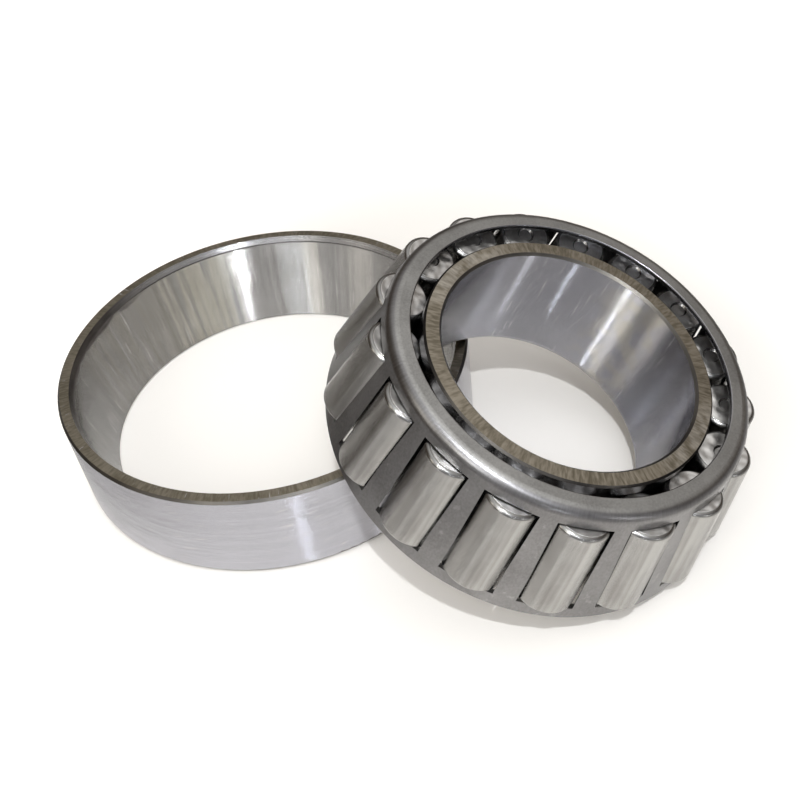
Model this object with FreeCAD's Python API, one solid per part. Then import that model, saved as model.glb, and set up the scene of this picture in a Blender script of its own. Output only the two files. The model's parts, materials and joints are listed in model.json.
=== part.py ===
"""Tapered roller bearing, shown taken apart: the cup lies on the floor, back face down, and the cone
assembly (inner ring, cage and rollers) leans on the rim of the cup with its large end towards the floor.

Units are millimetres. +Z is up and the floor is Z = 0. The origin is the middle of the footprint.
The cone assembly leans along +X. "Ring coordinates" are those of the cone assembly: its own axis is Z,
its back face (the large end) is Z = 0 and +X points at the low side, where it stands on the floor.
"""
import FreeCAD, Part
import math
import os

# Overall sizes of the bearing
OUTSIDE_D = 161.925       # cup outside diameter
BORE_D = 88.9             # inner ring bore
ASSEMBLED_W = 47.625      # cone back face to cup back face when the two run together
CUP_W = 38.1              # cup width
CONE_W = 48.26            # inner ring width

# Raceways and rollers. Raceways and roller axes all meet the bearing axis in one point, the apex.
CUP_ANGLE = 12.8          # half angle of the cup raceway, degrees
RIM_WALL = 5.0            # cup wall where the raceway line meets the front face
ROLLER_COUNT = 17
ROLLER_GAP = 1.9          # least space between two rollers, at their small ends
RACEWAY_WALL = 4.0        # least wall of the inner ring under the raceway
BACK_RIB_W = 7.3          # back rib width where the rollers' large ends run
FRONT_RIB_W = 6.1         # front rib width, with the end play
BACK_RIB_SHARE = 0.28     # back rib height, as a share of a roller's large diameter
FRONT_RIB_H = 1.9         # front rib height above the raceway
RELIEF = 0.5              # depth of the ground relief in each corner of the raceway
RELIEF_W = 1.1            # width of that relief

# Edges
CUP_BACK_EDGE = 2.0       # rounding of the cup's back outer edge
CUP_FRONT_CHAMFER = 0.9   # chamfer of the cup's front outer edge
CUP_LEAD_W = 2.6          # width of the lead-in between the raceway and the front face
CUP_LEAD_H = 0.45         # how far that lead-in opens beyond the raceway's line
CUP_BACK_LEAD = 0.6       # chamfer between the raceway and the back face
BORE_BACK_EDGE = 3.0      # rounding of the bore at the back face, which clears a shaft's fillet
BORE_FRONT_CHAMFER = 0.9
RIB_CHAMFER = 0.7
ROLLER_LARGE_EDGE = 0.9
ROLLER_SMALL_EDGE = 1.6
DIMPLE_SHARE = 0.32       # radius of the hollow in a roller's small end, as a share of that end's radius
DIMPLE_DEPTH = 0.6

# Cage, pressed from sheet
CAGE_SHEET = 2.0
CAGE_PROUD_LARGE = 0.15   # how far a roller stands out of the cage at its large end, share of its diameter
CAGE_PROUD_SMALL = 0.20   # the same at the small end
CAGE_BAND = 4.8           # closed band below the pockets, at the large end
CAGE_BEND = 4.0           # outer radius of the bend between the conical wall and the lip
LIP_STEP = 2.9            # the lip's top above the inner ring's front face
LIP_SHARE = 0.42          # open part of the way from the front rib to the cage's shoulder
EDGE_ROUND = 0.5          # rounding of the cage's two rims

# Clearances
RACEWAY_CLEARANCE = 0.15  # roller to inner raceway
BACK_RIB_CLEARANCE = 0.25
END_PLAY = 0.5            # roller to front rib
POCKET_CLEARANCE = 0.75    # roller to the inner edges of its pocket
POCKET_GAP_LARGE = 1.7    # roller to the pocket's outer edge at the large end
POCKET_GAP_SMALL = 0.45   # the same at the small end
POCKET_END_PLAY = 0.4     # roller to the ends of its pocket
SEAT_GAP = 0.15           # cone assembly to the cup's rim and to the floor

# How the cone assembly lies
LEAN_ANGLE = 23.2         # between its axis and the vertical, degrees
ROLLER_PHASE = -1.65      # the first roller's place, degrees round from the low side

ROUND_TOLERANCE = 1e-9


class RollerSet:
    """The common apex, the cone angles, and where a roller starts and ends along its axis."""

    def __init__(self):
        alpha = math.radians(CUP_ANGLE)
        raceway_front_r = OUTSIDE_D / 2 - RIM_WALL
        self.cup_back_r = raceway_front_r - CUP_W * math.tan(alpha)
        self.apex_z = ASSEMBLED_W + self.cup_back_r / math.tan(alpha)
        large_z = BACK_RIB_W
        small_z = CONE_W - FRONT_RIB_W
        raceway_r = BORE_D / 2 + RACEWAY_WALL
        room = (alpha - math.atan(raceway_r / (self.apex_z - small_z))) / 2
        pitch = math.sin(math.pi / ROLLER_COUNT)
        touching = math.atan(pitch * math.sin(alpha) / (1 + pitch * math.cos(alpha)))
        spaced = touching - ROLLER_GAP / 2 / (self.apex_z - small_z)
        self.nu = min(room, spaced)
        self.gamma = alpha - self.nu
        self.beta = alpha - 2 * self.nu
        along = math.cos(self.gamma) + math.tan(self.nu) * math.sin(self.gamma)
        self.large_s = (self.apex_z - large_z) / along
        self.small_s = (self.apex_z - small_z) / along

    def radius(self, s):
        """A roller's radius at the distance s from the apex."""
        return s * math.tan(self.nu)

    def point(self, s, out=0.0):
        """(r, z) at s along a roller's axis and out to the side of it, away from the bearing axis."""
        r = s * math.sin(self.gamma) + out * math.cos(self.gamma)
        z = self.apex_z - s * math.cos(self.gamma) + out * math.sin(self.gamma)
        return r, z

    def across(self, s, r):
        """z at the radius r on the line through s that is square to a roller's axis."""
        return self.apex_z + (r * math.sin(self.gamma) - s) / math.cos(self.gamma)

    def raceway(self, z):
        """Radius of the inner raceway at z."""
        return (self.apex_z - z) * math.tan(self.beta) - RACEWAY_CLEARANCE / math.cos(self.beta)

    def spin_ratio(self):
        """Turns of a roller in its pocket for one turn of the cage round the inner ring."""
        return math.sin(self.beta) / math.sin(self.nu)


class CageWall:
    """The line of the cage's conical outer surface, and the lip that closes its small end."""

    def __init__(self, rollers):
        large_d = 2 * rollers.radius(rollers.large_s)
        small_d = 2 * rollers.radius(rollers.small_s)
        large = rollers.point(rollers.large_s, large_d * (0.5 - CAGE_PROUD_LARGE))
        small = rollers.point(rollers.small_s, small_d * (0.5 - CAGE_PROUD_SMALL))
        self.slope = (large[0] - small[0]) / (small[1] - large[1])
        self.large_r, self.large_z = large
        self.angle = math.atan(self.slope)
        pocket_z = rollers.across(rollers.large_s + POCKET_END_PLAY, self.large_r)
        self.back_z = pocket_z - CAGE_BAND
        self.lip_z = CONE_W + LIP_STEP
        self.corner_r = self.radius(self.lip_z)
        front_rib_r = rollers.raceway(CONE_W - FRONT_RIB_W) + FRONT_RIB_H
        self.lip_r = front_rib_r + LIP_SHARE * (self.corner_r - front_rib_r)

    def radius(self, z):
        """Outer radius of the conical wall at z."""
        return self.large_r - (z - self.large_z) * self.slope


def rounded_wire(corners):
    """A closed wire in the XZ plane through (r, z, radius) corners, with a tangent arc of each radius."""
    points = [FreeCAD.Vector(r, 0, z) for r, z, _ in corners]
    edges = []
    first = last = None
    for i, (_, _, radius) in enumerate(corners):
        here = points[i]
        before = (points[i - 1] - here).normalize()
        after = (points[(i + 1) % len(points)] - here).normalize()
        if radius > 0:
            half = before.getAngle(after) / 2
            reach = radius / math.tan(half)
            start, end = here + before * reach, here + after * reach
            bisector = (before + after).normalize()
            middle = here + bisector * (radius / math.sin(half) - radius)
        else:
            start = end = here
        if last is not None and (start - last).Length > ROUND_TOLERANCE:
            edges.append(Part.LineSegment(last, start).toShape())
        if radius > 0:
            edges.append(Part.Arc(start, middle, end).toShape())
        if first is None:
            first = start
        last = end
    edges.append(Part.LineSegment(last, first).toShape())
    return Part.Wire(edges)


def turned(corners):
    """A solid of revolution about Z from its (r, z, radius) corners."""
    face = Part.Face(rounded_wire(corners))
    return face.revolve(FreeCAD.Vector(0, 0, 0), FreeCAD.Vector(0, 0, 1), 360)


def make_cup(rollers):
    """The outer ring, back face at Z = 0, with its conical raceway opening upwards."""
    outer_r = OUTSIDE_D / 2
    slope = math.tan(math.radians(CUP_ANGLE))
    front_z = CUP_W - CUP_LEAD_W
    front_r = rollers.cup_back_r + front_z * slope
    back_r = rollers.cup_back_r + CUP_BACK_LEAD * slope
    return turned([
        (back_r + CUP_BACK_LEAD, 0, 0),
        (outer_r, 0, CUP_BACK_EDGE),
        (outer_r, CUP_W - CUP_FRONT_CHAMFER, 0),
        (outer_r - CUP_FRONT_CHAMFER, CUP_W, 0),
        (rollers.cup_back_r + CUP_W * slope + CUP_LEAD_H, CUP_W, 0),
        (front_r, front_z, 0),
        (back_r, CUP_BACK_LEAD, 0),
    ])


def back_rib_radius(rollers):
    """Outside radius of the inner ring's back rib."""
    large_d = 2 * rollers.radius(rollers.large_s)
    return rollers.raceway(BACK_RIB_W) + BACK_RIB_SHARE * large_d


def make_inner_ring(rollers):
    """The cone's inner ring: bore, raceway, a back rib that guides the rollers and a front rib."""
    bore_r = BORE_D / 2
    back_r = back_rib_radius(rollers)
    back_s = rollers.large_s + BACK_RIB_CLEARANCE
    front_s = rollers.small_s - END_PLAY
    back_corner_z = rollers.across(back_s, rollers.raceway(BACK_RIB_W))
    front_corner_z = rollers.across(front_s, rollers.raceway(CONE_W - FRONT_RIB_W))
    front_r = rollers.raceway(front_corner_z) + FRONT_RIB_H
    back_relief_z = back_corner_z + RELIEF_W
    front_relief_z = front_corner_z - RELIEF_W
    return turned([
        (bore_r, 0, BORE_BACK_EDGE),
        (back_r - RIB_CHAMFER, 0, 0),
        (back_r, RIB_CHAMFER, 0),
        (back_r, rollers.across(back_s, back_r), RIB_CHAMFER / 2),
        (rollers.raceway(back_corner_z), back_corner_z, 0),
        (rollers.raceway(back_corner_z) - RELIEF, back_corner_z, 0),
        (rollers.raceway(back_relief_z) - RELIEF, back_relief_z, 0),
        (rollers.raceway(back_relief_z), back_relief_z, 0),
        (rollers.raceway(front_relief_z), front_relief_z, 0),
        (rollers.raceway(front_relief_z) - RELIEF, front_relief_z, 0),
        (rollers.raceway(front_corner_z) - RELIEF, front_corner_z, 0),
        (front_r, rollers.across(front_s, front_r), RIB_CHAMFER / 2),
        (front_r, CONE_W - RIB_CHAMFER, 0),
        (front_r - RIB_CHAMFER, CONE_W, 0),
        (bore_r + BORE_FRONT_CHAMFER, CONE_W, 0),
        (bore_r, CONE_W - BORE_FRONT_CHAMFER, 0),
    ])


def roller_frame(rollers, s):
    """Placement of a shape built on Z: its base at s on the first roller's axis, Z towards the apex."""
    r, z = rollers.point(s)
    turn = FreeCAD.Rotation(FreeCAD.Vector(0, 1, 0), -math.degrees(rollers.gamma))
    return FreeCAD.Placement(FreeCAD.Vector(r, 0, z), turn)


def make_roller(rollers):
    """One tapered roller in the low side's place, with a hollow in its small end."""
    length = rollers.large_s - rollers.small_s
    large_r = rollers.radius(rollers.large_s)
    small_r = rollers.radius(rollers.small_s)
    dimple_r = small_r * DIMPLE_SHARE
    roller = turned([
        (0, 0, 0),
        (large_r, 0, ROLLER_LARGE_EDGE),
        (small_r, length, ROLLER_SMALL_EDGE),
        (dimple_r, length, 0),
        (dimple_r - DIMPLE_DEPTH, length - DIMPLE_DEPTH, 0),
        (0, length - DIMPLE_DEPTH, 0),
    ])
    roller.Placement = roller_frame(rollers, rollers.large_s)
    return roller


def half_chord(rollers, wall, s):
    """Half the width of a roller where it comes through the cage's outer surface, at s."""
    radius = rollers.radius(s)
    surface = wall.radius(rollers.point(s, radius)[1])
    height = (surface - rollers.point(s)[0]) / math.cos(rollers.gamma)
    return math.sqrt(max(radius ** 2 - height ** 2, 0))


def make_pocket_tool(rollers, wall):
    """What is cut from the cage for one roller: a trapezoid through the sheet, and room for the roller."""
    base_s = rollers.large_s + POCKET_END_PLAY
    length = base_s - rollers.small_s + POCKET_END_PLAY
    large = half_chord(rollers, wall, base_s) + POCKET_GAP_LARGE
    small = half_chord(rollers, wall, base_s - length) + POCKET_GAP_SMALL
    outline = [(-large, 0), (large, 0), (small, length), (-small, length), (-large, 0)]
    plate = Part.Face(Part.makePolygon([FreeCAD.Vector(0, y, z) for y, z in outline]))
    tool = plate.extrude(FreeCAD.Vector(2 * rollers.radius(base_s), 0, 0))
    room = Part.makeCone(
        rollers.radius(base_s) + POCKET_CLEARANCE,
        rollers.radius(base_s - length) + POCKET_CLEARANCE,
        length,
    )
    tool = tool.fuse(room)
    tool.Placement = roller_frame(rollers, base_s)
    return tool


def round_bearing_axis(shape, index):
    """A copy of a shape turned from the first roller's place to another roller's."""
    copy = shape.copy()
    angle = ROLLER_PHASE + 360.0 * index / ROLLER_COUNT
    copy.rotate(FreeCAD.Vector(0, 0, 0), FreeCAD.Vector(0, 0, 1), angle)
    return copy


def make_cage(rollers, wall):
    """The pressed cage: a conical wall with a trapezoid pocket for each roller, and an inward lip."""
    thick_r = CAGE_SHEET / math.cos(wall.angle)
    lip_under_z = wall.lip_z - CAGE_SHEET
    inner_bend = max(CAGE_BEND - CAGE_SHEET, EDGE_ROUND)
    blank = turned([
        (wall.radius(wall.back_z) - thick_r, wall.back_z, EDGE_ROUND),
        (wall.radius(wall.back_z), wall.back_z, EDGE_ROUND),
        (wall.corner_r, wall.lip_z, CAGE_BEND),
        (wall.lip_r, wall.lip_z, EDGE_ROUND),
        (wall.lip_r, lip_under_z, EDGE_ROUND),
        (wall.radius(lip_under_z) - thick_r, lip_under_z, inner_bend),
    ])
    tool = make_pocket_tool(rollers, wall)
    return blank.cut([round_bearing_axis(tool, i) for i in range(ROLLER_COUNT)])


class Pose:
    """Where the cup and the leaning cone assembly lie on the floor."""

    def __init__(self, rollers, wall):
        lean = math.radians(LEAN_ANGLE)
        feet = [(back_rib_radius(rollers) - RIB_CHAMFER, 0), (wall.radius(wall.back_z), wall.back_z)]
        reach_down = max(r * math.sin(lean) - z * math.cos(lean) for r, z in feet)
        self.ring_z = reach_down + SEAT_GAP
        drop = CUP_W - self.ring_z + SEAT_GAP / math.cos(lean)
        rim_r = OUTSIDE_D / 2 - CUP_FRONT_CHAMFER
        seat_r = BORE_D / 2 + BORE_BACK_EDGE
        off_axis = max(seat_r ** 2 - (drop / math.sin(lean)) ** 2, 0)
        across_rim = math.sqrt(rim_r ** 2 - off_axis)
        spacing = across_rim + drop / math.tan(lean)
        far_r, far_z = rollers.point(rollers.small_s, rollers.radius(rollers.small_s))
        far_x = spacing + far_r * math.cos(lean) + far_z * math.sin(lean)
        self.cup_x = (OUTSIDE_D / 2 - far_x) / 2
        self.ring_x = self.cup_x + spacing

    def cup(self):
        """Placement of the cup."""
        return FreeCAD.Placement(FreeCAD.Vector(self.cup_x, 0, 0), FreeCAD.Rotation())

    def ring(self):
        """Placement that takes ring coordinates to the floor's."""
        turn = FreeCAD.Rotation(FreeCAD.Vector(0, 1, 0), LEAN_ANGLE)
        return FreeCAD.Placement(FreeCAD.Vector(self.ring_x, 0, self.ring_z), turn)


def roller_name(index):
    """Node name of a roller."""
    return f"roller_{index + 1:02d}"


def build():
    """Every node's shape by name, in the row's frame."""
    rollers = RollerSet()
    wall = CageWall(rollers)
    pose = Pose(rollers, wall)
    roller = make_roller(rollers)
    nodes = {"inner_ring": make_inner_ring(rollers), "cage": make_cage(rollers, wall)}
    for i in range(ROLLER_COUNT):
        nodes[roller_name(i)] = round_bearing_axis(roller, i)
    for shape in nodes.values():
        shape.Placement = pose.ring().multiply(shape.Placement)
    cup = make_cup(rollers)
    cup.Placement = pose.cup()
    nodes["cup"] = cup
    return nodes


def main():
    """Write one STEP file for each node."""
    os.makedirs("parts", exist_ok=True)
    for name, shape in build().items():
        solids = shape.Solids
        if len(solids) != 1 or not shape.isValid():
            raise ValueError(f"{name} has {len(solids)} solids, valid {shape.isValid()}")
        solids[0].exportStep(f"parts/{name}.step")
        box = solids[0].BoundBox
        print(f"{name:12s} {solids[0].Volume:12.1f} mm3  x {box.XMin:8.2f} {box.XMax:8.2f}"
              f"  y {box.YMin:8.2f} {box.YMax:8.2f}  z {box.ZMin:7.2f} {box.ZMax:7.2f}")


if __name__ == "__main__":
    main()
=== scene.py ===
"""The looks of a tapered roller bearing that lies taken apart on a pale floor.

The cup lies flat. The cone assembly, which is the inner ring with its cage and rollers, leans on the
cup's rim. Every surface is bare steel, so the finishes below are told apart by colour, by roughness and
by the lay of the marks that grinding, honing and pressing leave.

Lengths in the finishes are millimetres; Blender's own are metres.
"""
import json
import logging
import math
from dataclasses import dataclass, replace
from enum import Enum
from typing import Any, Mapping, Sequence, Union

import bpy
from mathutils import Euler, Matrix, Vector


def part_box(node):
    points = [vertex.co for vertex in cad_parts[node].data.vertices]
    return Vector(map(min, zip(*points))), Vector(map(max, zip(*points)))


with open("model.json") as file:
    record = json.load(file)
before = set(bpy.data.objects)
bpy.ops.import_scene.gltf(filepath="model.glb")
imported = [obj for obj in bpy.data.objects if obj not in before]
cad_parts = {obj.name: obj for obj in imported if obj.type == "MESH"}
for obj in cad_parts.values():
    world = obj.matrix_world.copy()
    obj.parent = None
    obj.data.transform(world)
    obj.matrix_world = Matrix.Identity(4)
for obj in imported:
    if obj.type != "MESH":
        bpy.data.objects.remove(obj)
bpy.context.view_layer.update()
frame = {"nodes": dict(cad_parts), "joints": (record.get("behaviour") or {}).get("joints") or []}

MM = 0.001
LOG = logging.getLogger("bearing")

# The colour sockets of a Mix node.
MIX_UNDER, MIX_OVER, MIX_RESULT = 6, 7, 2

# The soft patches in every metal: their length in millimetres, and how many finer layers they have.
PATCH_LENGTH = 16.0
PATCH_DETAIL = 3.0
# The noise levels between which a metal goes from its dark colour to its light one.
TONE_STEP = (0.15, 0.85)
# How far the marks and the patches each change the roughness, and the smoothest that a surface gets.
ROUGHNESS_CHANGE = 0.06
LEAST_ROUGHNESS = 0.04
# The step in the noise over which a nick fades in.
NICK_EDGE = 0.03

Colour = tuple[float, float, float]
Span = tuple[float, float]
Link = Union[float, int, Sequence[float], "Value", bpy.types.NodeSocket]


class Value:
    """A number worked out by a node tree, written with Python's own operators."""

    def __init__(self, graph: "Graph", socket: bpy.types.NodeSocket) -> None:
        """Wrap an output socket of one of the graph's nodes.

        Args:
            graph: The graph that new Math nodes are added to.
            socket: The output socket that holds the number.
        """
        self.graph = graph
        self.socket = socket

    def math(self, operation: str, *others: "Number") -> "Value":
        """Add one Math node that takes this value first.

        Args:
            operation: The Math node's operation.
            others: The node's further inputs.

        Returns:
            The node's result.
        """
        links = {0: self, **{i + 1: other for i, other in enumerate(others)}}
        return self.graph.value("ShaderNodeMath", {"operation": operation}, links)

    def after(self, operation: str, first: float) -> "Value":
        """The same as math, with a plain number as the node's first input."""
        return self.graph.value("ShaderNodeMath", {"operation": operation}, {0: first, 1: self})

    def __add__(self, other: "Number") -> "Value":
        """This value plus another."""
        return self.math("ADD", other)

    def __radd__(self, other: float) -> "Value":
        """A plain number plus this value."""
        return self.math("ADD", other)

    def __sub__(self, other: "Number") -> "Value":
        """This value minus another."""
        return self.math("SUBTRACT", other)

    def __rsub__(self, other: float) -> "Value":
        """A plain number minus this value."""
        return self.after("SUBTRACT", other)

    def __mul__(self, other: "Number") -> "Value":
        """This value times another."""
        return self.math("MULTIPLY", other)

    def __rmul__(self, other: float) -> "Value":
        """A plain number times this value."""
        return self.math("MULTIPLY", other)

    def __truediv__(self, other: "Number") -> "Value":
        """This value divided by another."""
        return self.math("DIVIDE", other)

    def __pow__(self, other: "Number") -> "Value":
        """This value to the power of another."""
        return self.math("POWER", other)

    def at_least(self, other: "Number") -> "Value":
        """The larger of the two values."""
        return self.math("MAXIMUM", other)

    def size(self) -> "Value":
        """The value without its sign."""
        return self.math("ABSOLUTE")

    def ramp(self, low: float, high: float) -> "Value":
        """A smooth step.

        Args:
            low: Where the result is 0.
            high: Where the result is 1, which may be below low.

        Returns:
            A value from 0 to 1.
        """
        settings = {"interpolation_type": "SMOOTHSTEP", "clamp": True}
        links = {"Value": self, "From Min": low, "From Max": high}
        if low > high:
            links.update({"From Min": high, "From Max": low, "To Min": 1.0, "To Max": 0.0})
        return self.graph.value("ShaderNodeMapRange", settings, links)


Number = Union[float, int, Value]


@dataclass(frozen=True)
class Skin:
    """What a finish gives to the shader at each point of a surface.

    Attributes:
        colour: The metal's colour, as a colour socket.
        roughness: The roughness.
        height: The height of the surface's marks, in millimetres.
        comb: How steep the sides of its finest marks are, which lie round the axis.
        rise: How far more of those sides look up than down, as a share of comb.
    """

    colour: bpy.types.NodeSocket
    roughness: Number
    height: Number
    comb: Number
    rise: Number = 0.0


class Graph:
    """The node tree of a material or world, with a short way to add and link its nodes."""

    def __init__(self, owner: Union[bpy.types.Material, bpy.types.World]) -> None:
        """Start with an empty tree.

        Args:
            owner: The new material or world whose nodes these are.
        """
        self.owner = owner
        owner.use_nodes = True
        self.tree = owner.node_tree
        self.tree.nodes.clear()

    @staticmethod
    def of_material(name: str) -> "Graph":
        """The graph of a new material with this name."""
        return Graph(bpy.data.materials.new(name))

    def link(self, target: bpy.types.NodeSocket, source: Link) -> None:
        """Feed an input socket from a value, another socket or plain numbers."""
        if isinstance(source, Value):
            source = source.socket
        if isinstance(source, bpy.types.NodeSocket):
            self.tree.links.new(source, target)
        elif isinstance(source, (int, float)):
            target.default_value = source
        else:
            target.default_value = tuple(source)[:len(target.default_value)]

    def node(self, kind: str, settings: Mapping[str, Any] | None = None,
             links: Mapping[Any, Link] | None = None) -> bpy.types.Node:
        """Add one node.

        Args:
            kind: The node's type.
            settings: Its properties, which are set first.
            links: Its inputs, by name or number.

        Returns:
            The new node.
        """
        node = self.tree.nodes.new(kind)
        for name, setting in (settings or {}).items():
            setattr(node, name, setting)
        for name, source in (links or {}).items():
            self.link(node.inputs[name], source)
        return node

    def value(self, kind: str, settings: Mapping[str, Any], links: Mapping[Any, Link],
              output: Union[int, str] = 0) -> Value:
        """Add one node and take a number from it."""
        return Value(self, self.node(kind, settings, links).outputs[output])

    def vector(self, x: Number, y: Number, z: Number) -> bpy.types.NodeSocket:
        """Join three numbers into a vector."""
        return self.node("ShaderNodeCombineXYZ", {}, {0: x, 1: y, 2: z}).outputs[0]

    def split(self, vector: bpy.types.NodeSocket) -> tuple[Value, Value, Value]:
        """The three parts of a vector."""
        node = self.node("ShaderNodeSeparateXYZ", {}, {0: vector})
        x, y, z = (Value(self, output) for output in node.outputs)
        return x, y, z

    def noise(self, vector: bpy.types.NodeSocket, detail: float = 2.0, roughness: float = 0.5) -> Value:
        """Smooth noise round 0.5 whose marks are about one unit of the vector across."""
        links = {"Vector": vector, "Scale": 1.0, "Detail": detail, "Roughness": roughness}
        return self.value("ShaderNodeTexNoise", {"noise_dimensions": "3D"}, links, "Fac")

    def blend(self, share: Number, under: Link, over: Link) -> bpy.types.NodeSocket:
        """Mix two colours.

        Args:
            share: How much of the second colour shows, from 0 to 1.
            under: The first colour.
            over: The second colour.

        Returns:
            The mixed colour's socket.
        """
        node = self.node("ShaderNodeMix", {"data_type": "RGBA", "clamp_factor": True})
        self.link(node.inputs["Factor"], share)
        for number, source in ((MIX_UNDER, under), (MIX_OVER, over)):
            self.link(node.inputs[number], (*source, 1.0) if isinstance(source, tuple) else source)
        return node.outputs[MIX_RESULT]

    def cover(self, share: Value, under: Skin, over: Skin) -> Skin:
        """Lay one skin over another where the share is 1."""
        return Skin(
            self.blend(share, under.colour, over.colour),
            share * over.roughness + (1 - share) * under.roughness,
            share * over.height + (1 - share) * under.height,
            share * over.comb + (1 - share) * under.comb,
            share * over.rise + (1 - share) * under.rise,
        )

    def finish(self, at: "Round", skin: Skin) -> bpy.types.Material:
        """Close the material as bare metal with this skin.

        Args:
            at: The coordinates round the piece's axis.
            skin: What the surface looks like at each point.

        Returns:
            The finished material.
        """
        combed = at.combed(skin.comb, skin.rise)
        relief = {"Strength": 1.0, "Distance": MM, "Height": skin.height, "Normal": combed}
        links = {
            "Base Color": skin.colour,
            "Metallic": 1.0,
            "Roughness": skin.roughness,
            "Normal": self.node("ShaderNodeBump", {}, relief).outputs[0],
        }
        shader = self.node("ShaderNodeBsdfPrincipled", {}, links)
        self.node("ShaderNodeOutputMaterial", {}, {"Surface": shader.outputs[0]})
        return self.owner


@dataclass(frozen=True)
class Axis:
    """The turning axis of a piece, and the coordinates that its finishes are worked out in.

    Attributes:
        base: A point on the axis, in metres.
        turn: The rotation that takes +Z to the axis.
    """

    base: Vector
    turn: Euler

    @staticmethod
    def of_joint(joint: Mapping[str, Any]) -> "Axis":
        """The axis of one of the record's joints."""
        direction = Vector(joint["axis"])
        return Axis(Vector(joint["pos_m"]), direction.to_track_quat("Z", "Y").to_euler())


class Round:
    """Coordinates round an axis for one material, and the marks and patches worked out in them."""

    def __init__(self, graph: Graph, axis: Axis) -> None:
        """Work out the coordinates in the graph.

        Args:
            graph: The material's graph.
            axis: The piece's axis.
        """
        self.graph = graph
        self.axis = axis
        source = graph.node("ShaderNodeTexCoord")
        place = {"Vector": source.outputs["Object"], "Location": axis.base, "Rotation": axis.turn,
                 "Scale": (MM, MM, MM)}
        facing = {"Vector": source.outputs["Normal"], "Rotation": axis.turn}
        self.point = graph.node("ShaderNodeMapping", {"vector_type": "TEXTURE"}, place).outputs[0]
        normal = graph.node("ShaderNodeMapping", {"vector_type": "TEXTURE"}, facing).outputs[0]
        x, y, self.height = graph.split(self.point)
        self.radius = (x * x + y * y) ** 0.5
        self.cos = x / self.radius
        self.sin = y / self.radius
        normal_x, normal_y, self.up = graph.split(normal)
        self.out = normal_x * self.cos + normal_y * self.sin
        self.along = self.height + self.radius

    def marks(self, reach: float, round_length: float, along_length: float, detail: float = 2.0,
              shift: float = 0.0) -> Value:
        """Noise drawn out into marks round the axis or along the profile.

        Args:
            reach: The radius at which the length round is true.
            round_length: The length of a mark round the axis.
            along_length: Its length along the profile.
            detail: How many finer layers the noise has.
            shift: Moves the noise, so that two layers of marks differ.

        Returns:
            A value round 0.5.
        """
        across = reach / round_length
        vector = self.graph.vector(self.cos * across, self.sin * across, self.along / along_length + shift)
        return self.graph.noise(vector, detail)

    def facing(self, azimuth: float, reach: float) -> Value:
        """How near a point lies to one side of the axis.

        Args:
            azimuth: The side, in degrees from the world's +X towards +Y.
            reach: How many degrees from that side the value falls to 0.

        Returns:
            A value from 0 to 1.
        """
        side = Matrix.Rotation(math.radians(azimuth), 3, "Z") @ Vector((1, 0, 0))
        side = (self.axis.turn.to_matrix().transposed() @ side).to_2d().normalized()
        return (self.cos * side.x + self.sin * side.y).ramp(math.cos(math.radians(reach)), 1.0)

    def nicks(self, reach: float, size: Span, slant: float, rarity: float, shift: float) -> Value:
        """Short straight marks in odd places.

        Args:
            reach: The radius at which their length is true.
            size: Their size round the axis and along the profile, in millimetres.
            slant: How far they lean, as millimetres along for each millimetre round.
            rarity: The noise level above which a mark shows; near 0.7 few do.
            shift: Moves the marks.

        Returns:
            A value that is 1 in a mark.
        """
        across, along = reach / size[0], size[1]
        lean = self.cos.math("ARCTAN2", self.sin) * (reach * slant)
        vector = self.graph.vector(self.cos * across + shift, self.sin * across, (self.along + lean) / along)
        return self.graph.noise(vector, 0.0).ramp(rarity, rarity + NICK_EDGE)

    def combed(self, spread: Number, rise: Number) -> bpy.types.NodeSocket:
        """The surface's normal, leaned along the profile at random by marks too fine to see.

        Args:
            spread: The slope of the steepest mark's side.
            rise: How far more of the sides look up than down, as a share of the spread.

        Returns:
            The normal, in world space.
        """
        settings = {"noise_dimensions": "3D"}
        chance = self.graph.value("ShaderNodeTexWhiteNoise", settings, {"Vector": self.point})
        slope = (chance * 2 - 1 + self.out * rise) * spread
        outward = self.out - slope * self.up
        leaned = self.graph.vector(self.cos * outward, self.sin * outward, self.up + slope * self.out)
        turned = self.graph.node("ShaderNodeMapping", {"vector_type": "NORMAL"},
                                 {"Vector": leaned, "Rotation": self.axis.turn}).outputs[0]
        settings = {"vector_type": "NORMAL", "convert_from": "OBJECT", "convert_to": "WORLD"}
        return self.graph.node("ShaderNodeVectorTransform", settings, {0: turned}).outputs[0]

    def patches(self, length: float, detail: float = 2.0, shift: float = 0.0) -> Value:
        """Noise of one size in every direction, round 0.5."""
        scaled = self.graph.node("ShaderNodeVectorMath", {"operation": "SCALE"},
                                 {0: self.point, "Scale": 1.0 / length}).outputs[0]
        moved = self.graph.node("ShaderNodeVectorMath", {"operation": "ADD"},
                                {0: scaled, 1: (shift, shift, shift)}).outputs[0]
        return self.graph.noise(moved, detail)


class Lay(Enum):
    """The direction of the marks that show on a surface: (length round, length along) in millimetres."""

    AROUND = (150.0, 0.5)
    CROSSED = (0.9, 3.5)
    PROFILE = (2.2, 90.0)
    GRAIN = (0.7, 0.7)


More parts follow.
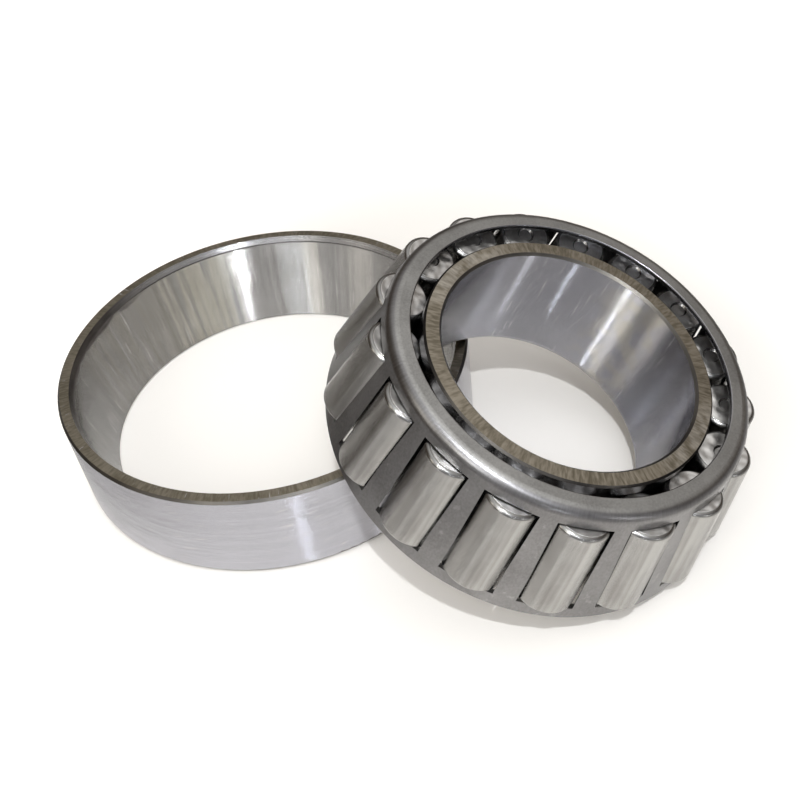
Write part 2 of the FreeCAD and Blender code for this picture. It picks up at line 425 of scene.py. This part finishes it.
@dataclass(frozen=True)
class Metal:
    """A bare metal surface with marks in one direction.

    Attributes:
        dark: The colour in the marks.
        light: The colour between them.
        roughness: The mean roughness.
        comb: The steepness of the finest marks, which draws reflections out along the profile.
        reach: The radius at which the marks' length round is true.
        lay: The direction of the marks.
        slope: How steep the sides of the marks that show are.
        contrast: How far the marks tint the surface, where 1 is from dark to light.
        cloud: How far soft patches tint it.
        rise: How far more of the finest marks' sides look up than down.
    """

    dark: Colour
    light: Colour
    roughness: float
    comb: float
    reach: float
    lay: Lay = Lay.AROUND
    slope: float = 0.01
    contrast: float = 0.4
    cloud: float = 0.8
    rise: float = 0.0

    def skin(self, at: Round) -> Skin:
        """The finish at each point.

        Args:
            at: The coordinates round the piece's axis.

        Returns:
            The skin.
        """
        round_length, along_length = self.lay.value
        patch = at.patches(PATCH_LENGTH, PATCH_DETAIL) - 0.5
        mark = at.marks(self.reach, round_length, along_length, 2.0) - 0.5
        tone = (mark * self.contrast + patch * self.cloud + 0.5).ramp(*TONE_STEP)
        roughness = mark * ROUGHNESS_CHANGE + patch * ROUGHNESS_CHANGE + self.roughness
        height = mark * (self.slope * min(round_length, along_length))
        colour = at.graph.blend(tone, self.dark, self.light)
        return Skin(colour, roughness.at_least(LEAST_ROUGHNESS), height, self.comb, self.rise)


@dataclass(frozen=True)
class Lamp:
    """A soft panel that shines at the object from one direction.

    Attributes:
        name: The lamp's name.
        azimuth: The direction it shines from, in degrees from +X towards +Y.
        elevation: Its height above the floor, in degrees.
        distance: How far away it is, in metres.
        width: Its level size, in degrees as the object sees it.
        height: Its upright size, in degrees.
        glow: Its brightness, where 1 is the brightness of white paper in plain light.
        colour: Its colour.
        lean: How far its top leans to the right as the object sees it, in degrees.
    """

    name: str
    azimuth: float
    elevation: float
    distance: float
    width: float
    height: float
    glow: float
    colour: Colour
    lean: float = 0.0

    def build(self) -> None:
        """Hang the lamp."""
        azimuth, elevation = math.radians(self.azimuth), math.radians(self.elevation)
        out = Vector((math.cos(elevation) * math.cos(azimuth), math.cos(elevation) * math.sin(azimuth),
                      math.sin(elevation)))
        light = bpy.data.lights.new(self.name, "AREA")
        light.shape = "ELLIPSE"
        light.size = 2 * self.distance * math.tan(math.radians(self.width / 2))
        light.size_y = 2 * self.distance * math.tan(math.radians(self.height / 2))
        area = light.size * light.size_y * math.pi / 4
        light.energy = self.glow * math.pi * area
        light.color = self.colour
        lamp = bpy.data.objects.new(self.name, light)
        lamp.location = out * self.distance
        turn = out.to_track_quat("Z", "Y").to_matrix() @ Matrix.Rotation(math.radians(self.lean), 3, "Z")
        lamp.rotation_euler = turn.to_euler()
        bpy.context.scene.collection.objects.link(lamp)


def toward(x: Value, y: Value, azimuth: float) -> Value:
    """How far a level point or direction reaches towards an azimuth in degrees."""
    return x * math.cos(math.radians(azimuth)) + y * math.sin(math.radians(azimuth))


@dataclass(frozen=True)
class Studio:
    """The floor, the lamps and the surroundings.

    Attributes:
        floor_reach: The floor's radius, in metres.
        floor_gap: How far it lies under the cup, in metres, so that no two faces share a plane.
        floor_colour: The colour of the paper.
        table_colour: The floor's colour past the paper, which the camera sees as white.
        sheet_edge: The distances over which the paper ends, in metres.
        sheet_centre: The paper's centre, in metres.
        sheet_narrowing: How much narrower the paper is than long.
        floor_lift: How much light the paper adds of its own.
        backdrop: What the camera sees past the floor.
        overhead: The surroundings' colour straight up.
        front: Their colour on the lamps' side.
        back: Their colour on the other side.
        front_azimuth: The lamps' side, in degrees.
        front_span: The cosines between which the back turns into the front.
        overhead_span: The sines of the elevations between which the side turns into the overhead.
        dark_azimuth: The side with a dark wall, in degrees.
        dark_span: The cosines between which that wall begins.
        dark_top: The cosines of the elevations between which it ends.
        dark_share: How dark it is.
        lamps: The lamps.
    """

    floor_reach: float = 4.0
    floor_gap: float = 0.0001
    floor_colour: Colour = (0.94, 0.91, 0.86)
    table_colour: Colour = (0.36, 0.35, 0.34)
    sheet_edge: Span = (0.17, 0.28)
    sheet_centre: Span = (0.03, 0.0)
    sheet_narrowing: float = 1.4
    floor_lift: float = 0.04
    backdrop: Colour = (1.0, 1.0, 1.0)
    overhead: Colour = (1.0, 0.99, 0.98)
    front: Colour = (0.36, 0.36, 0.375)
    back: Colour = (0.11, 0.085, 0.065)
    front_azimuth: float = 305.0
    front_span: Span = (0.1, 0.9)
    overhead_span: Span = (0.25, 1.0)
    dark_azimuth: float = 188.0
    dark_span: Span = (0.80, 0.97)
    dark_top: Span = (0.35, 0.65)
    dark_share: float = 0.95
    lamps: tuple[Lamp, ...] = (
        Lamp("key", 303.9, 61.2, 0.8, 1.8, 1.8, 1600.0, (0.93, 0.96, 1.0)),
        Lamp("high_tube", 310.0, 48.0, 2.0, 1.6, 16.0, 36.0, (0.95, 0.97, 1.0)),
        Lamp("low_tube", 306.0, 6.0, 2.0, 1.6, 6.0, 46.0, (0.88, 0.93, 1.0)),
        Lamp("slit", 272.0, 37.0, 2.0, 1.3, 28.0, 38.0, (0.92, 0.95, 1.0), -25.0),
        Lamp("strip", 261.0, 35.0, 2.0, 7.0, 24.0, 6.0, (1.0, 0.97, 0.88)),
        Lamp("warm", 228.0, 38.0, 2.0, 14.0, 30.0, 1.8, (1.0, 0.94, 0.82)),
        Lamp("window", 315.0, 50.0, 2.0, 12.0, 40.0, 1.3, (0.80, 0.87, 1.0)),
        Lamp("side", 342.0, 6.0, 2.0, 4.0, 12.0, 9.0, (0.97, 0.98, 1.0)),
        Lamp("ceiling", 20.0, 67.0, 2.0, 20.0, 12.0, 1.5, (1.0, 1.0, 1.0)),
    )

    def build(self) -> None:
        """Make the floor, the world and the lamps."""
        self.floor()
        self.world()
        for lamp in self.lamps:
            lamp.build()

    def floor(self) -> None:
        """A wide pale floor that shows white and keeps the object's shadow."""
        bpy.ops.object.select_all(action="DESELECT")
        bpy.ops.mesh.primitive_circle_add(vertices=96, radius=self.floor_reach, fill_type="NGON",
                                          location=(0, 0, -self.floor_gap))
        floor = bpy.context.object
        floor.name = "floor"
        graph = Graph.of_material("floor_paper")
        seen = graph.node("ShaderNodeLightPath")
        camera, glossy = (Value(graph, seen.outputs[name]) for name in ("Is Camera Ray", "Is Glossy Ray"))
        x, y, _ = graph.split(graph.node("ShaderNodeTexCoord").outputs["Object"])
        x, y = x - self.sheet_centre[0], y - self.sheet_centre[1]
        ahead = toward(x, y, self.front_azimuth)
        aside = toward(x, y, self.front_azimuth + 90.0) * self.sheet_narrowing
        away = ((ahead * ahead + aside * aside) ** 0.5).ramp(*self.sheet_edge)
        colour = graph.blend(away, self.floor_colour, self.table_colour)
        lift = (camera + glossy) * self.floor_lift + camera * away
        paper = graph.node("ShaderNodeBsdfDiffuse", {}, {"Color": colour})
        glow = graph.node("ShaderNodeEmission", {}, {"Color": (*self.floor_colour, 1.0), "Strength": lift})
        both = graph.node("ShaderNodeAddShader", {}, {0: paper.outputs[0], 1: glow.outputs[0]})
        graph.node("ShaderNodeOutputMaterial", {}, {"Surface": both.outputs[0]})
        floor.data.materials.append(graph.owner)

    def world(self) -> None:
        """Dim surroundings that are lighter overhead."""
        world = bpy.data.worlds.new("surroundings")
        bpy.context.scene.world = world
        graph = Graph(world)
        x, y, up = graph.split(graph.node("ShaderNodeTexCoord").outputs["Generated"])
        ahead = toward(x, y, self.front_azimuth).ramp(*self.front_span)
        around = graph.blend(ahead, self.back, self.front)
        colour = graph.blend(up.ramp(*self.overhead_span), around, self.overhead)
        level = (x * x + y * y) ** 0.5
        dark = (toward(x, y, self.dark_azimuth) / level).ramp(*self.dark_span) * level.ramp(*self.dark_top)
        colour = graph.blend(dark * self.dark_share, colour, self.back)
        camera = Value(graph, graph.node("ShaderNodeLightPath").outputs["Is Camera Ray"])
        colour = graph.blend(camera, colour, self.backdrop)
        background = graph.node("ShaderNodeBackground", {}, {"Color": colour, "Strength": 1.0})
        graph.node("ShaderNodeOutputWorld", {}, {"Surface": background.outputs[0]})


@dataclass(frozen=True)
class Camera:
    """The view.

    Attributes:
        azimuth: Where it looks from, in degrees from -Y towards +X.
        elevation: How high that is, in degrees.
        roll: How far it is turned about its own axis, in degrees.
        distance: How far it is from its aim, in metres.
        aim: The point it looks at.
        lens: Its focal length, in millimetres.
        sensor: The width of its picture's sensor, in millimetres.
    """

    azimuth: float = 30.41
    elevation: float = 43.12
    roll: float = -8.07
    distance: float = 0.4244
    aim: tuple[float, float, float] = (-0.0089, 0.0250, 0.0)
    lens: float = 45.52
    sensor: float = 36.0

    def build(self) -> None:
        """Place the camera and make it the scene's."""
        azimuth, elevation = math.radians(self.azimuth), math.radians(self.elevation)
        back = Vector((math.sin(azimuth) * math.cos(elevation), -math.cos(azimuth) * math.cos(elevation),
                       math.sin(elevation)))
        right = Vector((0, 0, 1)).cross(back).normalized()
        turn = Matrix.Rotation(math.radians(self.roll), 3, back)
        right = turn @ right
        axes = Matrix((right, back.cross(right), back)).transposed()
        data = bpy.data.cameras.new("view")
        data.lens = self.lens
        data.sensor_width = self.sensor
        data.clip_start = 0.01
        data.clip_end = 50.0
        camera = bpy.data.objects.new("view", data)
        camera.matrix_world = Matrix.Translation(Vector(self.aim) + back * self.distance) @ axes.to_4x4()
        bpy.context.scene.collection.objects.link(camera)
        bpy.context.scene.camera = camera


# The normal's upward parts between which an edge turns into a flat face.
FLAT = (0.85, 0.97)
# The finishes that more than one piece has: dark edges, stains, and bare metal in a scratch.
EDGE = Metal((0.07, 0.065, 0.06), (0.15, 0.14, 0.125), roughness=0.34, comb=0.1, reach=60.0)
STAIN = Metal((0.035, 0.03, 0.03), (0.16, 0.145, 0.14), roughness=0.36, comb=0.2, reach=72.0)
BRIGHT = Metal((0.55, 0.54, 0.53), (0.70, 0.69, 0.68), roughness=0.25, comb=0.3, reach=60.0)


@dataclass(frozen=True)
class Cup:
    """The cup: satin outside, honed raceway, ground faces and dark edges.

    Attributes:
        wall: The outside's finish.
        raceway: The raceway's finish.
        warm: The raceway's finish in cream streaks on one side, a painted reflection of the pale floor.
        dull: Its finish in darker streaks on one side.
        lead: The finish of the lead-in round the wide end of the raceway.
        face: The finish of the flat faces, whose tan tone is a painted warm reflection.
        edge: The finish of the rounded edges.
        lead_floor: The height at which the lead-in begins, in millimetres.
        inward: The normal's outward parts between which the outside turns into the inside.
        tilted: The normal's upward parts between which a wall turns into an edge.
        smudge_side: Where the outside was handled, as an azimuth and a reach in degrees.
        painted_warm_reflection_side: Where the raceway's painted cream reflection lies.
        dull_side: Where those darker streaks lie.
        stain_side: Where the lead-in is stained.
    """

    wall: Metal = Metal(
        (0.52, 0.52, 0.56), (0.60, 0.60, 0.65),
        roughness=0.17, comb=0.62, reach=81.0, lay=Lay.AROUND, slope=0.03, contrast=1.5, cloud=0.7)
    raceway: Metal = Metal(
        (0.31, 0.305, 0.30), (0.43, 0.425, 0.42),
        roughness=0.11, comb=0.62, reach=72.0, lay=Lay.PROFILE, slope=0.0, contrast=0.9)
    # A painted cream reflection, in streaks on one side of the raceway.
    warm: Metal = Metal(
        (0.43, 0.415, 0.365), (0.56, 0.545, 0.49),
        roughness=0.20, comb=0.6, reach=72.0, lay=Lay.PROFILE, slope=0.0, contrast=0.7)
    dull: Metal = Metal(
        (0.27, 0.26, 0.235), (0.37, 0.36, 0.335),
        roughness=0.2, comb=0.6, reach=72.0, lay=Lay.PROFILE, slope=0.0, contrast=0.7)
    lead: Metal = Metal(
        (0.34, 0.335, 0.335), (0.52, 0.515, 0.525),
        roughness=0.24, comb=0.5, reach=72.0, lay=Lay.AROUND, slope=0.02, contrast=0.9, cloud=0.9)
    # The faces' tan tone is a painted reflection of warm surroundings; the crossed marks are their own.
    face: Metal = Metal(
        (0.17, 0.15, 0.11), (0.29, 0.26, 0.205),
        roughness=0.32, comb=0.1, reach=78.0, lay=Lay.CROSSED, slope=0.06, contrast=1.3)
    edge: Metal = EDGE
    lead_floor: float = 35.45
    inward: Span = (-0.4, -0.8)
    tilted: Span = (0.32, 0.5)
    smudge_side: Span = (262.0, 26.0)
    painted_warm_reflection_side: Span = (148.0, 20.0)
    dull_side: Span = (178.0, 34.0)
    stain_side: Span = (206.0, 48.0)

    def dress(self, nodes: Mapping[str, bpy.types.Object]) -> None:
        """Give the cup its finish."""
        low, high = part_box("cup")
        centre = (low + high) / 2
        graph = Graph.of_material("cup_steel")
        at = Round(graph, Axis(Vector((centre.x, centre.y, 0.0)), Euler((0, 0, 0))))
        skin = graph.cover(at.out.ramp(*self.inward), self.outside(graph, at), self.inside(graph, at))
        skin = graph.cover(at.up.size().ramp(*self.tilted), skin, self.edge.skin(at))
        nicks = at.nicks(self.face.reach, (0.5, 4.0), slant=2.5, rarity=0.77, shift=3.0)
        face = graph.cover(nicks, self.face.skin(at), BRIGHT.skin(at))
        skin = graph.cover(at.up.size().ramp(*FLAT), skin, face)
        put_on(nodes["cup"], graph.finish(at, skin))

    def outside(self, graph: Graph, at: Round) -> Skin:
        """The outer wall, with a handling smudge and a few scratches."""
        rubs = at.marks(self.wall.reach, round_length=14.0, along_length=1.6, detail=3.0, shift=5.0)
        smudge = at.facing(*self.smudge_side) * rubs.ramp(0.52, 0.66)
        scratch = at.nicks(self.wall.reach, (7.0, 0.4), slant=0.2, rarity=0.78, shift=7.0)
        skin = graph.cover(smudge * 0.22, self.wall.skin(at), STAIN.skin(at))
        return graph.cover(scratch, skin, BRIGHT.skin(at))

    def inside(self, graph: Graph, at: Round) -> Skin:
        """The raceway and the lead-in above it, which is stained on one side."""
        patch = at.patches(9.0, detail=3.0, shift=4.0)
        streaks = at.marks(self.raceway.reach, round_length=2.5, along_length=70.0, detail=4.0, shift=4.0)
        # Painted reflection: cream streaks on one side of the raceway.
        warm = at.facing(*self.painted_warm_reflection_side) * streaks.ramp(0.35, 0.55)
        skin = graph.cover(warm, self.raceway.skin(at), self.warm.skin(at))
        skin = graph.cover(at.facing(*self.dull_side) * streaks.ramp(0.70, 0.35), skin, self.dull.skin(at))
        scratch = at.nicks(self.raceway.reach, (0.9, 22.0), slant=-1.6, rarity=0.76, shift=1.0)
        skin = graph.cover(scratch * 0.6, skin, BRIGHT.skin(at))
        lead = at.height.ramp(self.lead_floor - 0.1, self.lead_floor + 0.1)
        skin = graph.cover(lead, skin, self.lead.skin(at))
        line = (at.height - self.lead_floor).size().ramp(0.42, 0.12)
        ragged = (at.height + patch * 5.0).ramp(self.lead_floor + 0.4, self.lead_floor + 1.6)
        stain = (line * 0.8).at_least(at.facing(*self.stain_side) * ragged)
        return graph.cover(stain, skin, STAIN.skin(at))


@dataclass(frozen=True)
class InnerRing:
    """The inner ring: cross-ground faces, a ground bore, and a raceway under the rollers.

    Attributes:
        wall: The finish under the rollers, dark with oil and with painted shade, as it shows only in the
            narrow gap under the cage's lip.
        bore: The bore's finish.
        warm: The bore's finish in a beige patch, a painted reflection.
        dim: The bore's finish in a dark patch, a painted dark reflection.
        face: The finish of the flat faces, whose tan tone is a painted warm reflection.
        painted_highlight: The face's finish in cream patches at two sides, painted highlights.
        edge: The finish of the chamfers.
        inward: The normal's outward parts between which the outside turns into the bore.
        tilted: The normal's upward parts between which a wall turns into an edge.
        painted_warm_reflection_side: Where the bore's painted beige reflection lies, as an azimuth and a
            reach in degrees.
        dim_side: Where that painted dark reflection lies.
        painted_highlight_sides: Where the face's painted highlights lie, as azimuths and reaches in degrees.
    """

    # Oil and painted shade: the raceway under the rollers is dark, as it shows only in the narrow gap under
    # the cage's lip.
    wall: Metal = Metal((0.16, 0.16, 0.17), (0.34, 0.34, 0.35), roughness=0.16, comb=0.2, reach=50.0)
    bore: Metal = Metal(
        (0.36, 0.36, 0.385), (0.44, 0.44, 0.47),
        roughness=0.11, comb=0.56, reach=44.0, rise=0.45)
    # A painted beige reflection on one side of the bore.
    warm: Metal = Metal(
        (0.40, 0.385, 0.36), (0.50, 0.485, 0.46),
        roughness=0.17, comb=0.56, reach=44.0, rise=0.45)
    # A painted dark reflection on one side of the bore.
    dim: Metal = Metal(
        (0.21, 0.21, 0.225), (0.28, 0.28, 0.30),
        roughness=0.13, comb=0.56, reach=44.0, rise=0.45)
    # The faces' tan tone is a painted reflection of warm surroundings; the crossed marks are their own.
    face: Metal = Metal(
        (0.20, 0.175, 0.13), (0.40, 0.355, 0.285),
        roughness=0.3, comb=0.1, reach=48.0, lay=Lay.CROSSED, slope=0.1, contrast=1.4)
    # Painted highlights: cream patches on the face at two sides.
    painted_highlight: Metal = Metal(
        (0.34, 0.31, 0.26), (0.60, 0.56, 0.49),
        roughness=0.3, comb=0.1, reach=48.0, lay=Lay.CROSSED, slope=0.1, contrast=1.4)
    edge: Metal = EDGE
    inward: Span = (-0.5, -0.9)
    tilted: Span = (0.35, 0.5)
    painted_warm_reflection_side: Span = (66.0, 28.0)
    dim_side: Span = (41.0, 17.0)
    painted_highlight_sides: tuple[Span, Span] = ((168.0, 30.0), (352.0, 26.0))

    def dress(self, nodes: Mapping[str, bpy.types.Object], axis: Axis) -> None:
        """Give the inner ring its finish."""
        graph = Graph.of_material("ring_steel")
        at = Round(graph, axis)
        # Painted reflection: a beige patch on one side of the bore.
        warm = at.facing(*self.painted_warm_reflection_side) * at.patches(8.0, detail=3.0, shift=2.0).ramp(0.38, 0.6)
        bore = graph.cover(warm, self.bore.skin(at), self.warm.skin(at))
        # Painted dark reflection on one side of the bore.
        bore = graph.cover(at.facing(*self.dim_side) * 0.8, bore, self.dim.skin(at))
        nicks = at.nicks(self.bore.reach, (0.5, 9.0), slant=0.5, rarity=0.75, shift=2.0)
        bore = graph.cover(nicks * 0.5, bore, BRIGHT.skin(at))
        # Painted highlights on the face, in patches at two sides.
        painted_highlight = at.facing(*self.painted_highlight_sides[0]).at_least(at.facing(*self.painted_highlight_sides[1]))
        painted_highlight = painted_highlight * at.patches(5.0, detail=3.0, shift=6.0).ramp(0.35, 0.6)
        face = graph.cover(painted_highlight, self.face.skin(at), self.painted_highlight.skin(at))
        # Under the rollers, oil and painted shade darken the ring.
        skin = graph.cover(at.out.ramp(*self.inward), self.wall.skin(at), bore)
        skin = graph.cover(at.up.size().ramp(*self.tilted), skin, self.edge.skin(at))
        skin = graph.cover(at.up.size().ramp(*FLAT), skin, face)
        put_on(nodes["inner_ring"], graph.finish(at, skin))


@dataclass(frozen=True)
class Cage:
    """The pressed cage.

    Attributes:
        sheet: The finish of the tumbled sheet.
        lip: The finish of the lip, which has been pressed flat.
        rubbed: Its finish where handling and the tumbling have scuffed it.
        oil_and_pocket_shade: Its finish on the pockets' sides, near black: oil, and painted shade in the
            narrow gaps beside the rollers.
        inner: Its finish inside.
        lip_tilt: The normal's upward parts between which the wall turns into the lip.
        pocket_tilt: The squared normal's parts off the axis's plane between which a pocket's side begins.
        inward: The normal's outward parts between which the outside turns into the inside.
    """

    sheet: Metal = Metal(
        (0.175, 0.17, 0.17), (0.30, 0.295, 0.295),
        roughness=0.32, comb=0.04, reach=65.0, lay=Lay.GRAIN, slope=0.045, contrast=0.45, cloud=0.7)
    lip: Metal = Metal(
        (0.27, 0.265, 0.255), (0.44, 0.435, 0.42),
        roughness=0.36, comb=0.04, reach=62.0, lay=Lay.GRAIN, slope=0.05, contrast=0.6, cloud=0.7)
    rubbed: Metal = Metal(
        (0.34, 0.335, 0.33), (0.50, 0.495, 0.49),
        roughness=0.36, comb=0.04, reach=65.0, lay=Lay.GRAIN, slope=0.045, contrast=0.6)
    # Oil and painted shade: the pockets' sides are near black, as the gaps beside the rollers are dark.
    oil_and_pocket_shade: Metal = Metal(
        (0.02, 0.018, 0.018), (0.09, 0.085, 0.085),
        roughness=0.25, comb=0.04, reach=65.0, lay=Lay.GRAIN, slope=0.05, contrast=0.5)
    inner: Metal = Metal(
        (0.13, 0.13, 0.14), (0.30, 0.30, 0.32),
        roughness=0.24, comb=0.04, reach=60.0, lay=Lay.GRAIN, slope=0.05, contrast=0.5)
    lip_tilt: Span = (0.88, 0.98)
    pocket_tilt: Span = (0.5, 0.2)
    inward: Span = (-0.2, -0.6)

    def dress(self, nodes: Mapping[str, bpy.types.Object], axis: Axis) -> None:
        """Give the cage its finish."""
        graph = Graph.of_material("cage_sheet")
        at = Round(graph, axis)
        fine = at.patches(3.5, detail=4.0, shift=3.0).ramp(0.60, 0.74)
        scuffs = fine * at.patches(18.0, detail=1.0, shift=8.0).ramp(0.45, 0.6) * 0.5
        skin = graph.cover(at.up.ramp(*self.lip_tilt), self.sheet.skin(at), self.lip.skin(at))
        skin = graph.cover(scuffs, skin, self.rubbed.skin(at))
        # Painted shade with oil on the pockets' sides, in the gaps beside the rollers.
        pocket_side = (at.out * at.out + at.up * at.up).ramp(*self.pocket_tilt)
        skin = graph.cover(pocket_side, skin, self.oil_and_pocket_shade.skin(at))
        skin = graph.cover(at.out.ramp(*self.inward), skin, self.inner.skin(at))
        put_on(nodes["cage"], graph.finish(at, skin))


@dataclass(frozen=True)
class Rollers:
    """The rollers.

    Attributes:
        wall: The finish of the ground and polished wall.
        rounding: The finish of the roundings between the wall and the ends, darker and rougher than the wall
            as painted shade.
        end: The finish of the ends, which oil covers unevenly.
        ripple: The height of the oil's unevenness, in millimetres.
        rounded: The normal's upward parts between which the wall turns into a rounding.
        flat: Those between which a rounding turns into an end.
    """

    wall: Metal = Metal(
        (0.27, 0.26, 0.25), (0.46, 0.455, 0.44),
        roughness=0.13, comb=0.35, reach=10.0, lay=Lay.PROFILE, slope=0.0, contrast=1.3)
    # Painted shade: the roundings are darker than the wall.
    rounding: Metal = Metal(
        (0.24, 0.235, 0.225), (0.36, 0.355, 0.345),
        roughness=0.26, comb=0.1, reach=10.0)
    end: Metal = Metal((0.64, 0.625, 0.60), (0.86, 0.85, 0.83), roughness=0.30, comb=0.1, reach=6.0)
    ripple: float = 0.5
    rounded: Span = (0.15, 0.35)
    flat: Span = (0.97, 0.995)

    def dress(self, nodes: Mapping[str, bpy.types.Object], joints: Mapping[str, Mapping[str, Any]]) -> None:
        """Give each roller its finish, worked out round its own axis."""
        for name in sorted(n for n in nodes if n.startswith("roller_")):
            graph = Graph.of_material(f"{name}_steel")
            at = Round(graph, Axis.of_joint(joints[f"{name}_spin"]))
            tilt = at.up.size()
            skin = graph.cover(tilt.ramp(*self.rounded), self.wall.skin(at), self.rounding.skin(at))
            end = self.end.skin(at)
            oil = at.patches(3.2, detail=0.0, shift=5.0) * self.ripple
            skin = graph.cover(tilt.ramp(*self.flat), skin, replace(end, height=end.height + oil))
            put_on(nodes[name], graph.finish(at, skin))


def put_on(piece: bpy.types.Object, material: bpy.types.Material) -> None:
    """Give a piece one material all over.

    Args:
        piece: The piece to dress.
        material: The finished material.
    """
    piece.data.materials.clear()
    piece.data.materials.append(material)
    LOG.info("%s wears %s", piece.name, material.name)


def main() -> None:
    """Build the view, the studio and the looks of every piece."""
    logging.basicConfig(level=logging.INFO, format="%(message)s")
    nodes = frame["nodes"]
    joints = {joint["name"]: joint for joint in frame["joints"]}
    cone_axis = Axis.of_joint(joints["cage_turn"])
    Camera().build()
    Studio().build()
    Cup().dress(nodes)
    InnerRing().dress(nodes, cone_axis)
    Cage().dress(nodes, cone_axis)
    Rollers().dress(nodes, joints)
    bpy.context.scene.view_settings.view_transform = "Standard"


if __name__ == "__main__":
    main()
